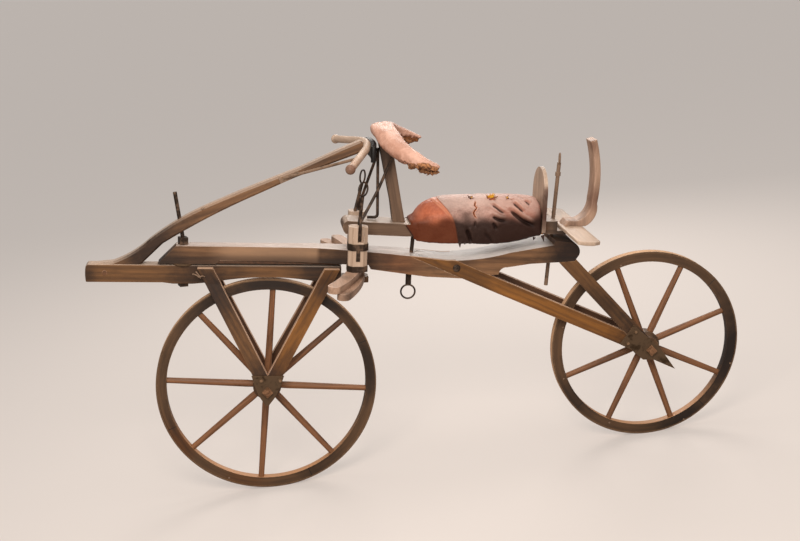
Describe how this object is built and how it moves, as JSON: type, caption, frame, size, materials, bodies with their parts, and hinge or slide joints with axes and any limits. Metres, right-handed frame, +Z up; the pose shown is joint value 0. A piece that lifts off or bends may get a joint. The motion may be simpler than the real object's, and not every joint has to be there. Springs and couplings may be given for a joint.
{
  "type": "wooden draisine",
  "caption": "Early wooden running machine: two spoked wheels in line, a perch, a steered front carriage with tiller and bow handle, a padded saddle and arm rest.",
  "frame": {"origin": "top of the saddle, where the rider sits, in the middle plane of the wheels", "axes": "+X to the rear, +Y to the rider's right, +Z up; the two wheels stand on one level floor"},
  "size_m": [2.0185, 0.7085, 1.1201],
  "materials": {
    "wood": "worn, oiled",
    "dark_wood": "worn",
    "pale_wood": "weathered",
    "iron": "forged, blackened",
    "tyre_iron": "rusted hoop",
    "saddle_leather": "worn",
    "arm_leather": "worn"
  },
  "bodies": {
    "frame": {"arm_brace": "iron", "arm_post": "wood", "arm_rest": "arm_leather", "arm_stay_far": "iron", "arm_stay_near": "iron", "clamp_post_far": "pale_wood", "clamp_post_near": "pale_wood", "eye_screw_far": "iron", "eye_screw_near": "iron", "lower_stay_far": "wood", "lower_stay_near": "wood", "luggage_hook": "wood", "perch": "wood", "post_irons_far": "iron", "post_irons_near": "iron", "rear_axle": "iron", "rear_plate_far": "iron", "rear_plate_near": "iron", "saddle_back": "wood", "saddle_board": "wood", "saddle_cushion": "saddle_leather", "saddle_screw_front": "iron", "saddle_screw_rear": "iron", "tail_board": "pale_wood", "turning_plate": "iron", "upper_arc": "pale_wood", "upper_stay_far": "wood", "upper_stay_near": "wood"},
    "front_carriage": {"fork_beam": "wood", "front_axle": "iron", "front_plate_far": "iron", "front_plate_near": "iron", "handle": "pale_wood", "handle_backing": "dark_wood", "handle_stay_far": "iron", "handle_stay_near": "iron", "lower_arc": "pale_wood", "steering_pin": "iron", "strut_front_far": "wood", "strut_front_near": "wood", "strut_rear_far": "wood", "strut_rear_near": "wood", "tiller_pole": "wood"},
    "front_wheel": {"front_felloes": "wood", "front_hub": "wood", "front_spokes": "wood", "front_tyre": "tyre_iron"},
    "rear_wheel": {"rear_felloes": "wood", "rear_hub": "wood", "rear_spokes": "wood", "rear_tyre": "tyre_iron"}
  },
  "joints": [
    {"name": "steering", "type": "hinge", "parent": "frame", "child": "front_carriage", "pos_m": [-0.94439, 0, -0.03529], "axis": [0.1409, 0, 0.99], "range_deg": [-20, 20]},
    {"name": "front_wheel_spin", "type": "hinge", "parent": "front_carriage", "child": "front_wheel", "pos_m": [-0.7511, 0, -0.51531], "axis": [0, 1, 0], "continuous": true},
    {"name": "rear_wheel_spin", "type": "hinge", "parent": "frame", "child": "rear_wheel", "pos_m": [0.4669, 0, -0.55131], "axis": [0, 1, 0], "continuous": true}
  ]
}
